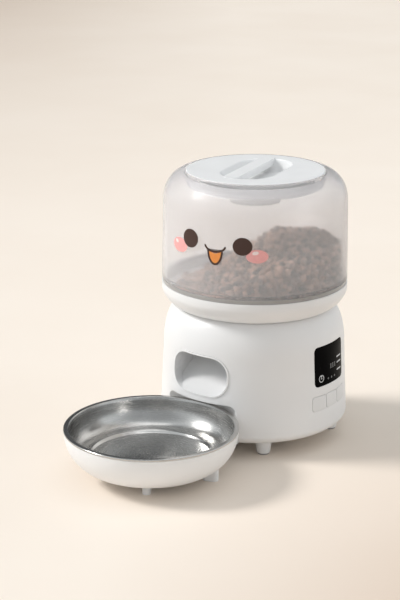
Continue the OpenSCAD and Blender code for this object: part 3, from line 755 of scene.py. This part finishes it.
TRAY_R = radius_of("bowl_tray")
TRAY_Z0, TRAY_Z1, TRAY_LIP_Z, TRAY_T = 9.6, 48.8, 50.2, 2.2
TRAY_FLOOR_R, TRAY_ARC_Z = 50.65, 47.8  # flat bottom, and the height of the middle of its curved wall
TRAY_ARC_R, TRAY_ARC_H = TRAY_R - TRAY_FLOOR_R, TRAY_ARC_Z - TRAY_Z0
outside = [(0, TRAY_Z0)] + arc(TRAY_FLOOR_R, TRAY_ARC_Z, TRAY_ARC_R, TRAY_ARC_H, -90, 0, 64)
outside += [(TRAY_R, TRAY_Z1), (TRAY_R - 0.9, TRAY_Z1 + 0.6), (TRAY_R - 0.9, TRAY_LIP_Z)]
inside = [(TRAY_R - TRAY_T, TRAY_LIP_Z), (TRAY_R - TRAY_T, TRAY_Z1)]
inside += arc(TRAY_FLOOR_R, TRAY_ARC_Z, TRAY_ARC_R - TRAY_T, TRAY_ARC_H - TRAY_T, 0, -90, 64)
inside += [(0, TRAY_Z0 + TRAY_T)]
tray = lathe("bowl_tray.fine", outside + inside, BOWL, WHITE, "tray", 224, closed=False)
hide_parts("bowl_tray")

RIM_R = radius_of("steel_bowl")
FLOOR_R, WALL_R, STEEL_T = 61.0, 82.2, 0.8


def steel_line(t, z0=18.6):
    """One face of the steel sheet from the middle to the rim; t is its height above the lower face."""
    step = [(FLOOR_R - 1.2 - t / 2, z0 + t), (FLOOR_R - 0.3 - t / 2, z0 + 0.25 + t),
            (FLOOR_R + 0.9 - t / 2, z0 + 1.8 + t), (FLOOR_R + 1.9 - t / 2, z0 + 2.35 + t)]
    wall = arc(FLOOR_R + 5, 43.2, WALL_R - FLOOR_R - 5 - t, 39.6 - z0 - t, -90, 0, 56)
    return [(0, z0 + t), (40, z0 + t)] + step + wall + [(WALL_R - t, 47.2), (WALL_R - t, 48.6 + t * 0.3)]


under = steel_line(0) + [(WALL_R + 0.2, 49.8), (WALL_R + 1, 50.4)]
quarter = np.linspace(0, math.pi / 2, 8)
lip = [(RIM_R - STEEL_T, 50.4), (RIM_R - STEEL_T, 49.4), (RIM_R - 0.1, 49.4)]
lip += [(RIM_R - 0.9 + 0.9 * math.cos(t), 50.3 + 0.9 * math.sin(t)) for t in quarter]
lip += [(WALL_R + 1.0 - 1.5 * math.sin(t) * 0.9, 49.8 + 1.4 * math.cos(t)) for t in quarter]
bowl = lathe("steel_bowl.fine", under + lip + steel_line(STEEL_T)[::-1], BOWL, STEEL, "bowl", 288,
             closed=False, smooth=40)
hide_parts("steel_bowl")
refined("tray_feet", WHITE, "tray", 0.8, 30, 3)
refined("tray_tongue", WHITE, "tray", 0.4, 30)

# ---------------------------------------------------------------- inside

INSIDE = {
    "lid": [("lid_plug", WHITE), ("lid_seal", SILICONE), ("desiccant_box", WHITE),
            ("desiccant_cover", INNER)],
    "hopper": [("outlet_baffle", INNER), ("wiper", SILICONE)],
    "rotor": [("portion_rotor", INNER), ("stirrer", INNER), ("rotor_screw", PLATED)],
    "base": [("base_deck", INNER), ("deck_screws", PLATED), ("bottom_screws", PLATED),
             ("battery_box", INNER), ("battery_contacts", BRASS), ("gearbox_case", INNER),
             ("gearbox_cover", INNER), ("gearbox_screws", PLATED), ("shaft_bush", BRASS),
             ("reduction_pin", PLATED), ("gear_motor", MOTOR), ("motor_screws", PLATED),
             ("motor_terminals", BRASS), ("display_module", BLACK), ("control_board", BOARD),
             ("board_parts", BLACK), ("button_switches", BLACK), ("button_carrier", INNER),
             ("inlet_pin", PLATED)],
    "drive": [("output_gear", ACETAL)],
    "idler": [("reduction_gear", ACETAL)],
    "pinion": [("motor_pinion", BRASS), ("motor_shaft", PLATED)],
    "tray": [("tongue_screws", PLATED)],
}
for body, items in INSIDE.items():
    for node, mat in items:
        dress(node, mat)

# ---------------------------------------------------------------- floor and light


def floor_material():
    """A pale sweep with painted shade: darker far off to the left, and darker and warmer near the front
    right.
    """
    m = Nodes("floor")
    x, y, z = m.add("ShaderNodeSeparateXYZ", Vector=m.coord).outputs
    right = m.math("ADD", m.math("MULTIPLY", x, VIEW_RIGHT.x), m.math("MULTIPLY", y, VIEW_RIGHT.y))
    away = m.math("SUBTRACT", m.math("MULTIPLY", y, VIEW_RIGHT.x), m.math("MULTIPLY", x, VIEW_RIGHT.y))
    # painted shade: two masks darken the floor's colour far off to the left and near the front right
    far_left_painted_shade = m.math("MULTIPLY", m.spread(away, 0, 1, 0.4, 4.5), m.spread(right, 1, 0, -0.9, 0.1))
    near_right_painted_shade = m.math("MULTIPLY", m.spread(away, 1, 0, -0.55, 0.1), m.spread(right, 0, 1, -0.1, 0.25))
    paper = m.noise(3, 3)
    base = m.mix(m.spread(paper, 0, 1), rgb(244, 232, 219), rgb(247, 236, 224))
    base = m.mix(far_left_painted_shade, base, rgb(196, 178, 162))
    base = m.mix(near_right_painted_shade, base, rgb(198, 172, 150))
    s = m.shader(Base_Color=base, Roughness=m.spread(m.noise(40, 3), 0.75, 0.85))
    s.inputs["Specular IOR Level"].default_value = 0.1
    return m.finish(s.outputs[0])


FLOOR_M = 24
bpy.ops.mesh.primitive_grid_add(x_subdivisions=8, y_subdivisions=8, size=FLOOR_M, location=(0, 0, 0))
floor = bpy.context.object
floor.name = "floor"
floor.data.materials.append(floor_material())

world = bpy.data.worlds.new("studio")
scene.world = world
world.use_nodes = True
wt = world.node_tree
back = wt.nodes["Background"]
back.inputs["Strength"].default_value = 0.95
way = wt.nodes.new("ShaderNodeTexCoord").outputs["Generated"]


def dimmed(colour, azimuth, elevation, wide, tight, level):
    """Dims the studio around one direction: full outside cosine wide, level inside cosine tight."""
    dot = wt.nodes.new("ShaderNodeVectorMath")
    dot.operation = "DOT_PRODUCT"
    dot.inputs[1].default_value = towards(azimuth, elevation)
    span = wt.nodes.new("ShaderNodeMapRange")
    span.interpolation_type = "SMOOTHSTEP"
    for k, v in ((1, wide), (2, tight), (3, 1.0), (4, level)):
        span.inputs[k].default_value = v
    scaled = wt.nodes.new("ShaderNodeVectorMath")
    scaled.operation = "SCALE"
    wt.links.new(way, dot.inputs[0])
    wt.links.new(dot.outputs["Value"], span.inputs[0])
    wt.links.new(span.outputs[0], scaled.inputs["Scale"])
    if isinstance(colour, tuple):
        scaled.inputs[0].default_value = colour
    else:
        wt.links.new(colour, scaled.inputs[0])
    return scaled.outputs[0]


# a dark stretch of studio beyond the object, and a weaker one on the camera's own side
dome = dimmed(rgb(247, 252, 255)[:3], 140, 30, 0.5, 0.92, 0.12)
dome = dimmed(dome, -53, 38, 0.5, 0.95, 0.5)
wt.links.new(dome, back.inputs["Color"])


def area(name, azimuth, elevation, distance, size, power, colour=(1, 1, 1), aim=(0.0, 0.0, 0.12)):
    """A soft box that looks at the object from a compass angle, degrees from +X."""
    light = bpy.data.lights.new(name, "AREA")
    light.shape = "RECTANGLE"
    light.size, light.size_y = size
    light.energy, light.color = power, colour
    o = bpy.data.objects.new(name, light)
    o.location = Vector(aim) + towards(azimuth, elevation) * distance
    o.rotation_mode = "QUATERNION"
    o.rotation_quaternion = (Vector(aim) - o.location).to_track_quat("-Z", "Y")
    scene.collection.objects.link(o)


def sun(name, azimuth, elevation, strength, softness, colour):
    """A far lamp that shines from a compass angle; softness is its width in degrees."""
    light = bpy.data.lights.new(name, "SUN")
    light.energy, light.angle, light.color = strength, math.radians(softness), colour
    o = bpy.data.objects.new(name, light)
    o.rotation_mode = "QUATERNION"
    o.rotation_quaternion = towards(azimuth, elevation).to_track_quat("Z", "Y")
    scene.collection.objects.link(o)


sun("key", 214, 40, 2.05, 16, (1.0, 0.985, 0.97))
area("top", 100, 78, 1.9, (1.2, 1.0), 4, (1.0, 0.99, 0.98))

scene.view_settings.view_transform = "Standard"
